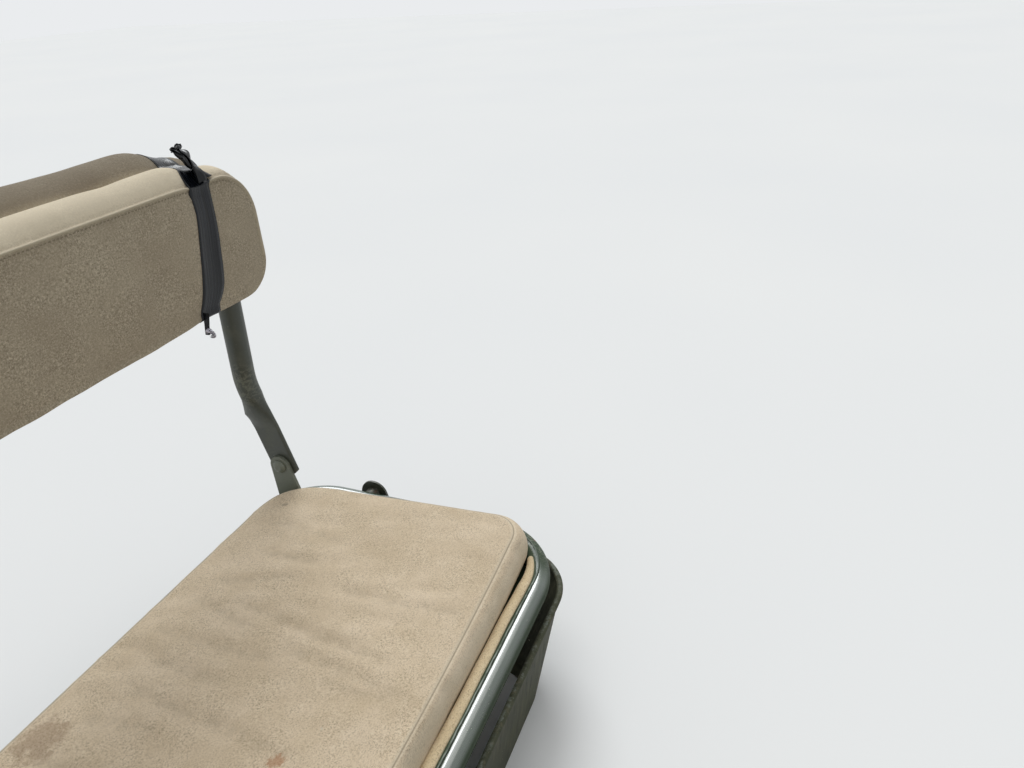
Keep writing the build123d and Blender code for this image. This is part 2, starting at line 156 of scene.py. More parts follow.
def old_paint(name, body, shade, gloss=0.35, specks=0.5, edge=card(148, 142, 124), edge_radius=0.0012,
              edge_wear=0.8, dusty=0.25):
    """Brushed vehicle enamel that has aged: its tint drifts over centimetres, the gloss is uneven, dust and
    dried splashes stand on it as pale specks, short scratches cross it, and sharp edges are worn to pale
    metal. specks, edge_wear and dusty say how much of each, from 0 to 1, and gloss is the roughness where
    it is clean. Returns the material with its tree, shader, place and colour, so that a piece can add its
    own marks."""
    material, tree, shader, place = new_finish(name)
    drift = ease(tree, clouds(tree, place, 7.0, 3.0, 0.5), 0.30, 0.70)
    colour = coat(tree, drift, body, shade)
    film = ease(tree, clouds(tree, place, 34.0, 5.0, 0.62), 0.44, 0.74)
    colour = coat(tree, times(tree, film, dusty), colour, card(128, 130, 112))
    spots = ease(tree, clouds(tree, place, 380.0, 2.0, 0.5), 0.69, 0.74)
    patch = ease(tree, clouds(tree, place, 21.0, 3.0, 0.6), 0.44, 0.62)
    spots = times(tree, spots, patch, specks)
    colour = coat(tree, spots, colour, card(190, 182, 160))
    lines = clouds(tree, stretch(tree, place, 30.0, 30.0, 260.0), 9.0, 2.0, 0.5, 0.6)
    scratch = times(tree, ease(tree, lines, 0.72, 0.76), 0.30 * specks)
    colour = coat(tree, scratch, colour, card(160, 158, 140))
    ragged = ease(tree, clouds(tree, place, 210.0, 3.0, 0.6), 0.38, 0.56)
    worn = times(tree, sharp_edges(tree, edge_radius), ragged, edge_wear)
    colour = coat(tree, worn, colour, edge)
    rough = plus(tree, gloss, times(tree, film, 0.14), times(tree, spots, 0.4))
    peel = clouds(tree, place, 190.0, 2.0, 0.5)
    runs = clouds(tree, place, 42.0, 2.0, 0.5)
    height = plus(tree, times(tree, peel, 0.35), runs, times(tree, spots, 0.6))
    bump = lay(tree, "Bump", {"Height": height, "Strength": 0.30, "Distance": 0.0007})
    fill(tree, shader, {"Base Color": colour, "Roughness": rough, "Normal": bump, "Specular IOR Level": 0.6})
    return material, tree, shader, place, colour


def dress(material, *names):
    """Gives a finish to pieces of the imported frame."""
    for name in names:
        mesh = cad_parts[name].data
        mesh.materials.clear()
        mesh.materials.append(material)


stand_paint = old_paint("stand_paint", card(50, 56, 44), card(42, 47, 37), gloss=0.46, specks=0.6,
                        dusty=0.15)[0]
dress(stand_paint, "stand_left", "stand_right")

rubbed_steel, tree, shader, place = new_finish("rubbed_steel")
turned = clouds(tree, stretch(tree, place, 900.0, 60.0, 60.0), 1.0, 3.0, 0.6)
rust = ease(tree, clouds(tree, place, 90.0, 4.0, 0.65), 0.52, 0.66)
bare = ease(tree, clouds(tree, place, 130.0, 4.0, 0.7), 0.55, 0.62)
colour = coat(tree, bare, card(48, 53, 42), card(112, 110, 102))
colour = coat(tree, times(tree, rust, 0.75), colour, card(78, 58, 42))
bump = lay(tree, "Bump", {"Height": turned, "Strength": 0.3, "Distance": 0.0003})
fill(tree, shader, {"Base Color": colour, "Metallic": bare,
                    "Roughness": ease(tree, turned, 0.2, 0.8, 0.40, 0.56), "Normal": bump})
dress(rubbed_steel, "pivot_stub_left", "pivot_stub_right", "pivot_washers")


# Seat ring. One steel tube bent to a rounded oblong and welded shut at the rear, brushed with olive enamel
# that has kept its gloss along the top, though not where the front corners are rubbed. Scratches and one
# red primer spot sit where the cushion's left front corner rubs.

ring_half, ring_front, ring_rear, ring_z = 0.4243, -0.2835, 0.121, 0.144
ring_bends = (0.100, 0.100, 0.080, 0.080)
ring_step = 0.004


def rounded_line(corners, radii, step):
    """Closed line in plan. At each corner the two sides meet in an arc that touches both; the whole is
    sampled evenly by its length. Returns the points and the outward direction at each."""
    corners = np.array(corners, float)
    pieces = []
    for i, radius in enumerate(radii):
        here = corners[i]
        to_last = corners[i - 1] - here
        to_next = corners[(i + 1) % len(corners)] - here
        to_last /= np.linalg.norm(to_last)
        to_next /= np.linalg.norm(to_next)
        half = np.arccos(to_last @ to_next) / 2
        inward = (to_last + to_next) / np.linalg.norm(to_last + to_next)
        centre = here + inward * radius / np.sin(half)
        start = np.arctan2(*(here + to_last * radius / np.tan(half) - centre)[::-1])
        angle = start + np.linspace(0, np.pi - 2 * half, 25)
        pieces.append(centre + radius * np.stack([np.cos(angle), np.sin(angle)], 1))
    line = np.concatenate(pieces + [pieces[0][:1]])
    run = np.concatenate([[0], np.cumsum(np.linalg.norm(np.diff(line, axis=0), axis=1))])
    count = int(round(run[-1] / step))
    at = np.linspace(0, run[-1], count, endpoint=False)
    points = np.stack([np.interp(at, run, line[:, 0]), np.interp(at, run, line[:, 1])], 1)
    ahead = np.roll(points, -1, 0) - np.roll(points, 1, 0)
    ahead /= np.linalg.norm(ahead, axis=1)[:, None]
    return points, np.stack([ahead[:, 1], -ahead[:, 0]], 1)


def put_mesh(name, points, faces, uv=None):
    """A new object from arrays of points and faces; uv has one pair for each corner of each face."""
    mesh = bpy.data.meshes.new(name)
    mesh.from_pydata(np.asarray(points, float).reshape(-1, 3).tolist(), [], np.asarray(faces).tolist())
    if uv is not None:
        layer = mesh.uv_layers.new(name="cloth")
        layer.data.foreach_set("uv", np.asarray(uv, np.float32).ravel())
    mesh.polygons.foreach_set("use_smooth", np.ones(len(mesh.polygons), bool))
    piece = bpy.data.objects.new(name, mesh)
    bpy.context.scene.collection.objects.link(piece)
    return piece


def face_outwards(piece, cap_ends=False):
    """Turns every face of a closed mesh outwards, after closing its open ends where that is asked."""
    work = bmesh.new()
    work.from_mesh(piece.data)
    if cap_ends:
        bmesh.ops.holes_fill(work, edges=[edge for edge in work.edges if edge.is_boundary])
    bmesh.ops.recalc_face_normals(work, faces=work.faces)
    work.to_mesh(piece.data)
    work.free()
    piece.data.polygons.foreach_set("use_smooth", np.ones(len(piece.data.polygons), bool))


def wrap_grid(rows, columns, close_rows=False, close_columns=False):
    """Quads between the points of a grid, which may close on itself either way."""
    index = np.arange(rows * columns).reshape(rows, columns)
    if close_rows:
        index = np.concatenate([index, index[:1]], 0)
    if close_columns:
        index = np.concatenate([index, index[:, :1]], 1)
    return np.stack([index[:-1, :-1], index[:-1, 1:], index[1:, 1:], index[1:, :-1]], -1).reshape(-1, 4)


def grid_uv(along, across):
    """The cloth map of such a grid: at each corner of each quad, the distance along the grid and across
    it."""
    grid = np.stack(np.broadcast_arrays(along[:, None], across[None, :]), -1)
    return np.stack([grid[:-1, :-1], grid[:-1, 1:], grid[1:, 1:], grid[1:, :-1]], 2)


def from_corner(tree, place, x, y, z):
    """Distance to a place in the left front corner or to its mirror image in the right one, whichever is
    nearer. x, y and z are that place's distances from the origin."""
    mirrored = lay(tree, "VectorMath", {0: place}, operation="ABSOLUTE")
    return distance(tree, mirrored, (x, y, z))


tube_paint, tree, shader, place, colour = old_paint(
    "tube_enamel", card(36, 51, 29), card(46, 61, 40), gloss=0.46, specks=0.8, dusty=0.14)
on_top = ease(tree, axis(tree, place, "Z"), 0.1474, 0.1550)
unrubbed = ease(tree, from_corner(tree, place, 0.402, 0.262, 0.150), 0.030, 0.075, 0.12, 1.0)
scuffs = ease(tree, clouds(tree, stretch(tree, place, 260.0, 60.0, 60.0), 4.0, 4.0, 0.7), 0.56, 0.62)
rubbing = ease(tree, distance(tree, place, (0.414, -0.226, 0.156)), 0.03, 0.10, 0.75, 0.0)
colour = coat(tree, times(tree, scuffs, rubbing), colour, card(176, 176, 160))
spot = distance(tree, place, (0.4075, -0.2550, 0.1545))
primer = plus(tree, spot, times(tree, clouds(tree, place, 500.0), 0.004))
primer = ease(tree, primer, 0.0035, 0.0055, 0.8, 0.0)
colour = coat(tree, primer, colour, card(120, 74, 62))
fill(tree, shader, {"Base Color": colour, "Specular IOR Level": 0.14,
                    "Coat Weight": times(tree, on_top, unrubbed), "Coat Roughness": 0.20, "Coat IOR": 2.3,
                    "Coat Tint": card(222, 243, 240)})
dress(tube_paint, "seat_tube")


# Pan and its channels. Sheet steel pressed with ribs, its lip rolled over the tube. Its enamel has gone
# matt and dusty, with a painted highlight: lighter along the top of the lip. The lip's raw edge shows as a
# thin pale line of rubbed paint, duller in the front corners, with a dark line along the step beside it.

pan_paint, tree, shader, place, colour = old_paint(
    "pan_enamel", card(48, 59, 41), card(58, 71, 53), gloss=0.30, specks=0.6, dusty=0.26)
# Lighter along the top of the lip: a painted highlight.
lip_top_painted_highlight = ease(tree, axis(tree, place, "Z"), 0.1405, 0.150)
colour = coat(tree, times(tree, lip_top_painted_highlight, 0.5), colour, card(84, 96, 80))
fill(tree, shader, {"Base Color": colour, "Specular IOR Level": 0.12})
dress(pan_paint, "seat_pan", "pan_channels")


def lip_edge_strip():
    """A thin strip carried round the ring. Across it lie the lip's thickness, its rounded edge, the step
    down and a band on the tube; each profile point is (distance from the tube's centre, angle past the
    edge). The edge's angle up from level is constant on the straights and grows in the front corners as the
    sine of twice the turn."""
    bead = [(0.01404, -7.0), (0.01412, -4.5), (0.01415, -2.2), (0.01402, -0.8), (0.01350, 0.0),
            (0.01300, 0.5), (0.01284, 1.3), (0.01283, 3.2), (0.01266, 5.0)]
    far, past = np.array(bead).T
    corners = [(-ring_half, ring_front), (ring_half, ring_front), (ring_half, ring_rear),
               (-ring_half, ring_rear)]
    line, out = rounded_line(corners, ring_bends, ring_step)
    in_corner = 2 * np.abs(out[:, 0] * out[:, 1]) * (out[:, 1] < 0)
    wobble = 0.8 * np.sin(np.arange(len(line)) * 0.61) + 0.5 * np.sin(np.arange(len(line)) * 1.73 + 1)
    angle = np.radians(past[None, :] + (73.0 + 24.0 * in_corner + wobble)[:, None])
    inward = -far[None, :] * np.cos(angle)
    up = far[None, :] * np.sin(angle)
    points = np.stack([line[:, 0, None] + out[:, 0, None] * inward,
                       line[:, 1, None] + out[:, 1, None] * inward, ring_z + up], -1)
    faces = wrap_grid(len(line), len(bead), close_rows=True)
    run = np.arange(len(line) + 1) * ring_step
    return put_mesh("lip_edge", points, faces, grid_uv(run, np.linspace(0, 1, len(bead))))


lip_edge = lip_edge_strip()
edge_finish, tree, shader, place = new_finish("lip_edge_finish")
across = axis(tree, lay(tree, "UVMap", uv_map="cloth"), "Y")
ragged = times(tree, sums(tree, "SUBTRACT", clouds(tree, place, 160.0, 4.0, 0.7), 0.5), 0.22)
rubbed = ease(tree, clouds(tree, place, 60.0, 3.0, 0.6), 0.36, 0.56)
pale = coat(tree, rubbed, card(88, 99, 86), card(140, 149, 140))
in_corner = ease(tree, from_corner(tree, place, 0.398, 0.255, 0.155), 0.035, 0.085, 0.85, 0.0)
pale = coat(tree, in_corner, pale, card(86, 97, 86))
from_edge = plus(tree, across, ragged)
# A dark line along the step down to the tube, then a band of the tube's own colour.
colour = coat(tree, ease(tree, from_edge, 0.44, 0.52), pale, card(34, 38, 32))
colour = coat(tree, ease(tree, from_edge, 0.78, 0.86), colour, card(56, 69, 49))
fill(tree, shader, {"Base Color": colour, "Roughness": 0.5, "Specular IOR Level": 0.2})
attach(lip_edge, "seat")
lip_edge.data.materials.append(edge_finish)


# Leg panel and its tabs. Sheet steel wrapped round both front corners, with a wire rolled into its top
# edge, hung from the tube by welded tabs. Its paint is matt and streaked downwards; boots have scraped the
# wired edge pale, with red primer along its lower side. The tabs, in the gap under the tube, are painted
# near black with no shine: painted shade for that gap.

leg_paint, tree, shader, place, colour = old_paint(
    "leg_enamel", card(73, 75, 57), card(56, 58, 43), gloss=0.58, specks=0.9, dusty=0.20)
streaks = clouds(tree, stretch(tree, place, 150.0, 150.0, 14.0), 1.0, 4.0, 0.65)
colour = coat(tree, ease(tree, streaks, 0.50, 0.70, 0.0, 0.70), colour, card(94, 90, 72))
colour = coat(tree, ease(tree, streaks, 0.28, 0.46, 0.7, 0.0), colour, card(27, 28, 20))
ragged = times(tree, sums(tree, "SUBTRACT", clouds(tree, place, 130.0, 4.0, 0.7), 0.5), 0.012)
level = plus(tree, axis(tree, place, "Z"), ragged)
primer = times(tree, ease(tree, level, 0.1115, 0.1130), ease(tree, level, 0.1135, 0.1150, 1.0, 0.0),
               ease(tree, clouds(tree, place, 22.0), 0.50, 0.58))
colour = coat(tree, primer, colour, card(112, 62, 52))
scraped = times(tree, ease(tree, level, 0.1203, 0.1216),
                ease(tree, clouds(tree, place, 28.0, 5.0, 0.7), 0.40, 0.58), 0.55)
colour = coat(tree, scraped, colour, card(124, 130, 122))
fill(tree, shader, {"Base Color": colour, "Specular IOR Level": 0.2})
dress(leg_paint, "leg_panel")

# Near black paint with no specular on the tabs: painted shade for the gap under the tube.
tab_painted_shade, tree, shader = old_paint("tab_painted_shade_enamel", card(28, 31, 23), card(22, 25, 18), gloss=0.7, specks=0.2,
                                    dusty=0.05)[:3]
fill(tree, shader, {"Specular IOR Level": 0.0})
dress(tab_painted_shade, "leg_tabs")


# Lugs and rivets. Plates welded to pan and tube carry the backrest's hinge rivets, whose heads were brushed
# over with the same matt olive and have worn pale on their crowns.

matt_olive = old_paint("matt_olive", card(116, 120, 107), card(100, 105, 92), gloss=0.46, specks=0.6,
                       edge=card(136, 130, 112), dusty=0.25)[0]
dress(matt_olive, "lug_left", "lug_right", "back_rivet_left", "back_rivet_right")


# Backrest hoop. A tube bent to a hoop, its legs kinked back and pressed flat round the rivets. Matt olive
# paint, rubbed where the leg kinks and browned at the cut corner of the flat.

hoop_paint, tree, shader, place, colour = old_paint(
    "hoop_paint", card(63, 67, 58), card(55, 59, 50), gloss=0.42, specks=0.35, edge=card(126, 114, 94),
    dusty=0.2)
kink = distance(tree, stretch(tree, place, 0.0, 1.0, 1.0), (0.0, 0.132, 0.334))
rub = times(tree, ease(tree, kink, 0.012, 0.045, 0.5, 0.0),
            ease(tree, clouds(tree, stretch(tree, place, 60.0, 240.0, 240.0), 1.0, 4.0, 0.7), 0.45, 0.6))
colour = coat(tree, rub, colour, card(124, 126, 110))
brown = times(tree, ease(tree, axis(tree, place, "Z"), 0.200, 0.212, 0.7, 0.0),
              ease(tree, clouds(tree, place, 150.0, 3.0, 0.6), 0.4, 0.6))
colour = coat(tree, brown, colour, card(120, 96, 70))
fill(tree, shader, {"Base Color": colour})
dress(hoop_paint, "back_hoop")


# Seat cushion. A foam slab in a sewn box cover of coarse sand-coloured canvas: a top panel, a boxing strip
# and a bottom panel. The top seam sits in a groove between two lighter flanks. The cover is mottled and
# speckled, stained in a few places, and creased from front to rear where people have sat, the creases
# darkened with painted shade and some soil; the upper half of the boxing is lightened as painted light.

far_from_seam = 0.02


def panel_rows(low, high, low_radius, high_radius, half_low, half_high, arc, straight):
    """Rows of a panel from its low edge to its high edge: evenly spaced in angle in the corner arcs and by
    length between them. Returns each row's level, its half width, and the outward direction at its ends."""
    angle = np.linspace(0, np.pi / 2, arc + 1)
    low_level = low + low_radius * (1 - np.cos(angle))
    high_level = high - high_radius * (1 - np.cos(angle[::-1]))
    middle = np.linspace(low_level[-1], high_level[0], straight + 1)[1:-1]
    level = np.concatenate([low_level, middle, high_level])
    side = half_low + (half_high - half_low) * (level - low) / (high - low)
    cut = np.concatenate([low_radius * (1 - np.sin(angle)), 0 * middle,
                          high_radius * (1 - np.sin(angle[::-1]))])
    along = np.concatenate([np.sin(angle), 1 + 0 * middle, np.sin(angle[::-1])])
    across = np.concatenate([-np.cos(angle), 0 * middle, np.cos(angle[::-1])])
    return level, side - cut, np.stack([along, across], 1)


def edge_loop(rows, columns):
    """Order of a panel's edge points: low row, right ends, high row back, left ends down."""
    index = np.arange(rows * columns).reshape(rows, columns)
    return np.concatenate([index[0, :-1], index[:-1, -1], index[-1, :0:-1], index[:0:-1, 0]])


def edge_outward(ends, columns):
    """Outward direction at each point of a panel's edge, in the order of edge_loop."""
    low = np.tile([0.0, -1.0], (columns - 1, 1))
    high = np.tile([0.0, 1.0], (columns - 1, 1))
    mirrored = ends * [-1, 1]
    return np.concatenate([low, ends[:-1], high, mirrored[:0:-1]])


def edge_run(edge):
    """Distance run along a panel's edge at each of its points, in the order of edge_loop."""
    step = np.linalg.norm(np.diff(np.concatenate([edge, edge[:1]]), axis=0), axis=1)
    return np.concatenate([[0], np.cumsum(step)[:-1]])


def panel_values(count, loop, inside, at_edge):
    """One number for each of a panel's points: at_edge on its edge points, inside on the others."""
    values = np.full(count, float(inside))
    values[loop] = at_edge
    return values


def keep_values(piece, name, values):
    """Keeps one number for each point of a piece, for its finish to read."""
    layer = piece.data.attributes.new(name, "FLOAT", "POINT")
    layer.data.foreach_set("value", values.astype(np.float32))


def sewn_box(name, face, band, back, face_uv, run, fall, seam):
    """Closed cover: a front panel, rows of boxing round its edge and a back panel with the same grid.
    Panels take their pattern from face_uv; boxing takes (run along the edge, fall across it). seam is every
    point's distance from the nearest seam, kept as an attribute for the finish."""
    rows, columns = face.shape[:2]
    loop = edge_loop(rows, columns)
    count = len(loop)
    start = rows * columns
    rings = [loop]
    for k in range(len(band)):
        rings.append(start + k * count + np.arange(count))
    last = start + len(band) * count
    rings.append(last + loop)
    rings = np.array(rings)
    beside = np.roll(rings, -1, 1)
    grid = wrap_grid(rows, columns)
    strip = np.stack([rings[:-1], beside[:-1], beside[1:], rings[1:]], -1).reshape(-1, 4)
    faces = np.concatenate([grid, strip, last + grid[:, ::-1]])
    flat = face_uv.reshape(-1, 2)
    run_next = np.append(run[1:], run[-1] + run[1] - run[0])
    corners = [np.stack(np.broadcast_arrays(r, f), -1) for r, f in (
        (run[None, :], fall[:-1, None]), (run_next[None, :], fall[:-1, None]),
        (run_next[None, :], fall[1:, None]), (run[None, :], fall[1:, None]))]
    strip_uv = np.stack(corners, 2).reshape(-1, 4, 2)
    uv = np.concatenate([flat[grid], strip_uv, flat[grid[:, ::-1]]])
    points = np.concatenate([face.reshape(-1, 3), band.reshape(-1, 3), back.reshape(-1, 3)])
    piece = put_mesh(name, points, faces, uv)
    keep_values(piece, "seam", seam)
    face_outwards(piece)
    return piece


def get_rows(points, field):
    """A field of every point of a mesh, its place or its outward direction, as rows of x, y and z."""
    flat = np.empty(len(points) * 3, np.float32)
    points.foreach_get(field, flat)
    return flat.reshape(-1, 3).astype(float)


def set_points(piece, points):
    """Moves every point of a piece."""
    piece.data.vertices.foreach_set("co", points.astype(np.float32).ravel())
    piece.data.update()


def fill_cover(piece, held, cap, pressure=3.0, frames=20):
    """Swells a cover as its filling does: cloth under air pressure, held from 0 to 1 at each point. Each
    point then keeps cap * tanh(shift / cap) of its shift."""
    group = piece.vertex_groups.new(name="held")
    steps = np.round(held * 8).astype(int)
    for level in np.unique(steps):
        group.add(np.flatnonzero(steps == level).tolist(), level / 8, "REPLACE")
    cloth = piece.modifiers.new("filling", "CLOTH")
    cloth.settings.quality = 4
    cloth.settings.vertex_group_mass = "held"
    cloth.settings.use_pressure = True
    cloth.settings.uniform_pressure_force = pressure
    cloth.settings.effector_weights.gravity = 0
    cloth.point_cache.frame_start = 1
    cloth.point_cache.frame_end = frames
    scene = bpy.context.scene
    for number in range(1, frames + 1):
        scene.frame_set(number)
    done = piece.evaluated_get(bpy.context.evaluated_depsgraph_get())
    swollen = get_rows(done.data.vertices, "co")
    piece.modifiers.remove(cloth)
    piece.vertex_groups.remove(group)
    scene.frame_set(1)
    rest = get_rows(piece.data.vertices, "co")
    shift = swollen - rest
    size = np.linalg.norm(shift, axis=1, keepdims=True) + 1e-12
    set_points(piece, rest + shift / size * cap * np.tanh(size / cap))


def rucks(u, v, waves, seed):
    """Soft folds as a sum of sine waves: each wave is (height, length across, how far it leans, count of
    neighbours), and a slow drift of its phase keeps it from repeating."""
    random = np.random.default_rng(seed)
    total = 0 * u
    for height, length, lean, count in waves:
        for _ in range(count):
            angle = lean + random.normal(0, 0.25)
            stride = length * random.uniform(0.8, 1.3)
            along = u * np.cos(angle) + v * np.sin(angle)
            drift = random.uniform(0.5, 1.2) * np.sin(v * 9 + random.uniform(0, 6))
            drift = drift + np.sin(u * 7 + random.uniform(0, 6))
            wave = np.sin(2 * np.pi * along / stride + drift + random.uniform(0, 6))
            total = total + height / count ** 0.5 * wave
    return total


def subdivide_once(piece):
    """Rounds a sewn piece off with one subdivision."""
    finer = piece.modifiers.new("finer", "SUBSURF")
    finer.levels = 1
    finer.render_levels = 1


yarn = 0.0011


def canvas(name, light, dark, speck, seam_colour, flank_colour, flank_strength=0.3, needle_strength=0.8):
    """Coarse cotton canvas. Yarns cross at right angles, as the product of two sines on the cloth's own
    map; single yarns are lighter or darker, larger clouds are washed and soiled, and next to a seam the
    cloth has a flank of its own colour with a thin needle line in the groove. Returns what old_paint
    returns."""
    material, tree, shader, place = new_finish(name)
    cloth_map = lay(tree, "UVMap", uv_map="cloth")
    warp = sums(tree, "SINE", times(tree, axis(tree, cloth_map, "X"), 2 * np.pi / yarn))
    weft = sums(tree, "SINE", times(tree, axis(tree, cloth_map, "Y"), 2 * np.pi / yarn))
    weave = times(tree, warp, weft)
    yarn_across = clouds(tree, stretch(tree, cloth_map, 260.0, 950.0, 1.0), 1.0, 2.0, 0.6)
    yarn_along = clouds(tree, stretch(tree, cloth_map, 950.0, 260.0, 1.0), 1.0, 2.0, 0.6)
    yarns = times(tree, plus(tree, yarn_across, yarn_along), 0.5)
    salt = clouds(tree, place, 620.0, 3.0, 0.75)
    grains = plus(tree, times(tree, yarns, 0.35), times(tree, salt, 0.65))
    mottle = ease(tree, clouds(tree, place, 15.0, 7.0, 0.70, 0.3), 0.30, 0.70)
    colour = coat(tree, mottle, dark, light)
    soil = ease(tree, clouds(tree, place, 90.0, 5.0, 0.75), 0.40, 0.64)
    colour = coat(tree, times(tree, soil, 0.30), colour, dark)
    uneven = ease(tree, clouds(tree, place, 26.0, 4.0, 0.6), 0.34, 0.66, 0.55, 1.15)
    pepper = times(tree, ease(tree, grains, 0.40, 0.50, 0.56, 0.0), uneven)
    colour = coat(tree, pepper, colour, speck)
    bright = times(tree, ease(tree, grains, 0.51, 0.60, 0.0, 0.44), uneven)
    colour = coat(tree, bright, colour, card(244, 232, 208))
    seam = lay(tree, "Attribute", out="Fac", attribute_name="seam")
    flank = ease(tree, seam, 0.0010, 0.0045, flank_strength, 0.0)
    colour = coat(tree, flank, colour, flank_colour)
    needle = ease(tree, seam, 0.0003, 0.0013, needle_strength, 0.0)
    colour = coat(tree, needle, colour, seam_colour)
    soft = clouds(tree, place, 90.0, 3.0, 0.6)
    height = plus(tree, times(tree, weave, 0.35), grains, times(tree, soft, 1.2))
    bump = lay(tree, "Bump", {"Height": height, "Strength": 0.7, "Distance": 0.0008})
    fill(tree, shader, {"Base Color": colour, "Roughness": 0.92, "Specular IOR Level": 0.25,
                        "Sheen Weight": 0.15, "Sheen Roughness": 0.6, "Normal": bump})
    return material, tree, shader, place, colour


seat_half_front, seat_half_rear = 0.3918, 0.3712
seat_seam_front, seat_seam_rear, seat_top = -0.2430, 0.0935, 0.1874
seat_columns = 131


def seat_cover():
    """Top panel: z is the seam's level plus a low crown, the product of a parabola across and one along,
    and a puff that grows as the cube of the way to each end. Boxing: the seam line moved out by a share of
    the bulge at each level; each row of the profile is (distance out, share of the bulge, level from the
    seam). The front seam bows 10 mm forwards in the middle, the ends 7 mm outwards."""
    inset = 0.0075
    level, half, ends = panel_rows(seat_seam_front + inset, seat_seam_rear - inset, 0.026, 0.036,
                                   seat_half_front - inset, seat_half_rear - inset, 6, 40)
    a = np.linspace(-1, 1, seat_columns)
    x = a[None, :] * half[:, None]
    share = (level - level[0]) / (level[-1] - level[0])
    y = level[:, None] - 0.0105 * np.clip(1 - (x / 0.37) ** 2, 0, 1) * (1 - share[:, None]) ** 3
    crown = (1 - (x / 0.40) ** 2) * (1 - (2 * share[:, None] - 1) ** 2)
    bow = 0.0070 * np.clip((0.082 - y) / 0.06, 0, 1) * np.clip((y + 0.262) / 0.05, 0, 1)
    puff = 0.0036 * np.abs(a)[None, :] ** 3 * np.clip((0.086 - y) / 0.05, 0, 1)
    x = x * (1 + bow / 0.39)
    top = np.stack([x, y, seat_top + 0.0004 + 0.002 * crown + puff], -1)
    bottom = np.stack([x, y, np.full_like(x, 0.1393)], -1)
    loop = edge_loop(*x.shape)
    edge = np.stack([x, y], -1).reshape(-1, 2)[loop]
    out = edge_outward(ends, seat_columns)
    off_middle = np.clip((np.abs(edge[:, 0]) - 0.15) / 0.14, 0, 1)
    forward, rearward = np.clip(-out[:, 1], 0, 1), np.clip(out[:, 1], 0, 1)
    bulge = 0.0056 + (0.0054 + 0.0034 * off_middle) * forward + 0.0014 * rearward
    bulge = bulge + 0.0042 * np.clip(-2 * np.abs(out[:, 0]) * out[:, 1], 0, 1)
    profile = np.array([(0.0040, 0.0, 0.0006), (0.0062, 0.0, 0.0002), (0.0075, 0.0, -0.0016),
                        (0.0086, 0.02, -0.0006), (0.0075, 0.40, -0.0022), (0.0075, 0.70, -0.0070),
                        (0.0075, 0.91, -0.0140), (0.0075, 1.0, -0.0222), (0.0075, 0.96, -0.0305),
                        (0.0075, 0.80, -0.0385), (0.0075, 0.50, -0.0445), (0.0060, 0.05, -0.0470)])
    away = profile[:, 0, None] + profile[:, 1, None] * bulge[None, :]
    ring = edge[None] + out[None] * away[..., None]
    lift = puff.reshape(-1)[loop] * np.clip(1 + profile[:, 2, None] / 0.03, 0, 1)
    band = np.concatenate([ring, (seat_top + profile[:, 2, None] + lift)[..., None]], -1)
    fall = np.array([0.0, 0.0035, 0.0058, 0.0075, 0.0090, 0.0130, 0.0190, 0.0265, 0.0350, 0.0440, 0.0530,
                     0.0600, 0.0660, 0.0730])
    top_seam, low_seam = 0.0075, 0.0660
    nearest = np.minimum(np.abs(fall - top_seam), np.abs(fall - low_seam) + 0.0006)
    seam = np.concatenate([panel_values(x.size, loop, far_from_seam, nearest[0]),
                           np.repeat(nearest[1:-1], len(loop)),
                           panel_values(x.size, loop, far_from_seam, nearest[-1])])
    cover = sewn_box("seat_cushion_cover", top, band, bottom, np.stack([x, y], -1), edge_run(edge), fall,
                     seam)
    held_rows = np.array([0.7, 1.0, 1.0, 1.0, 0.5, 0.15, 0.0, 0.0, 0.1, 0.4, 0.9, 1.0])
    held = np.concatenate([panel_values(x.size, loop, 0.0, 0.5), np.repeat(held_rows, len(loop)),
                           np.ones(x.size)])
    return cover, held, seam


def creases(x, y, lines):
    """Creases that sitting has pressed in. Each is (depth, half width, points of its line from rear to
    front): a valley, a bell curve across the bent line x(y), between two softer ridges, that fades within
    25 mm past the line's ends. Returns the height and how deep in a valley each point lies."""
    height, depth = 0 * x, 0 * x
    for deep, width, line in lines:
        line_x, line_y = np.array(line[::-1]).T
        off = np.abs(x - np.interp(y, line_y, line_x)) / width
        fade = np.clip(1 + (y - line_y[0]) / 0.025, 0, 1) * np.clip(1 + (line_y[-1] - y) / 0.025, 0, 1)
        fade = fade ** 2 * (3 - 2 * fade)
        height = height + deep * fade * (0.75 * np.exp(-((off - 1.9) / 1.1) ** 2) - np.exp(-off ** 2))
        depth = np.maximum(depth, fade * np.exp(-(off / 0.9) ** 2))
    return height, depth


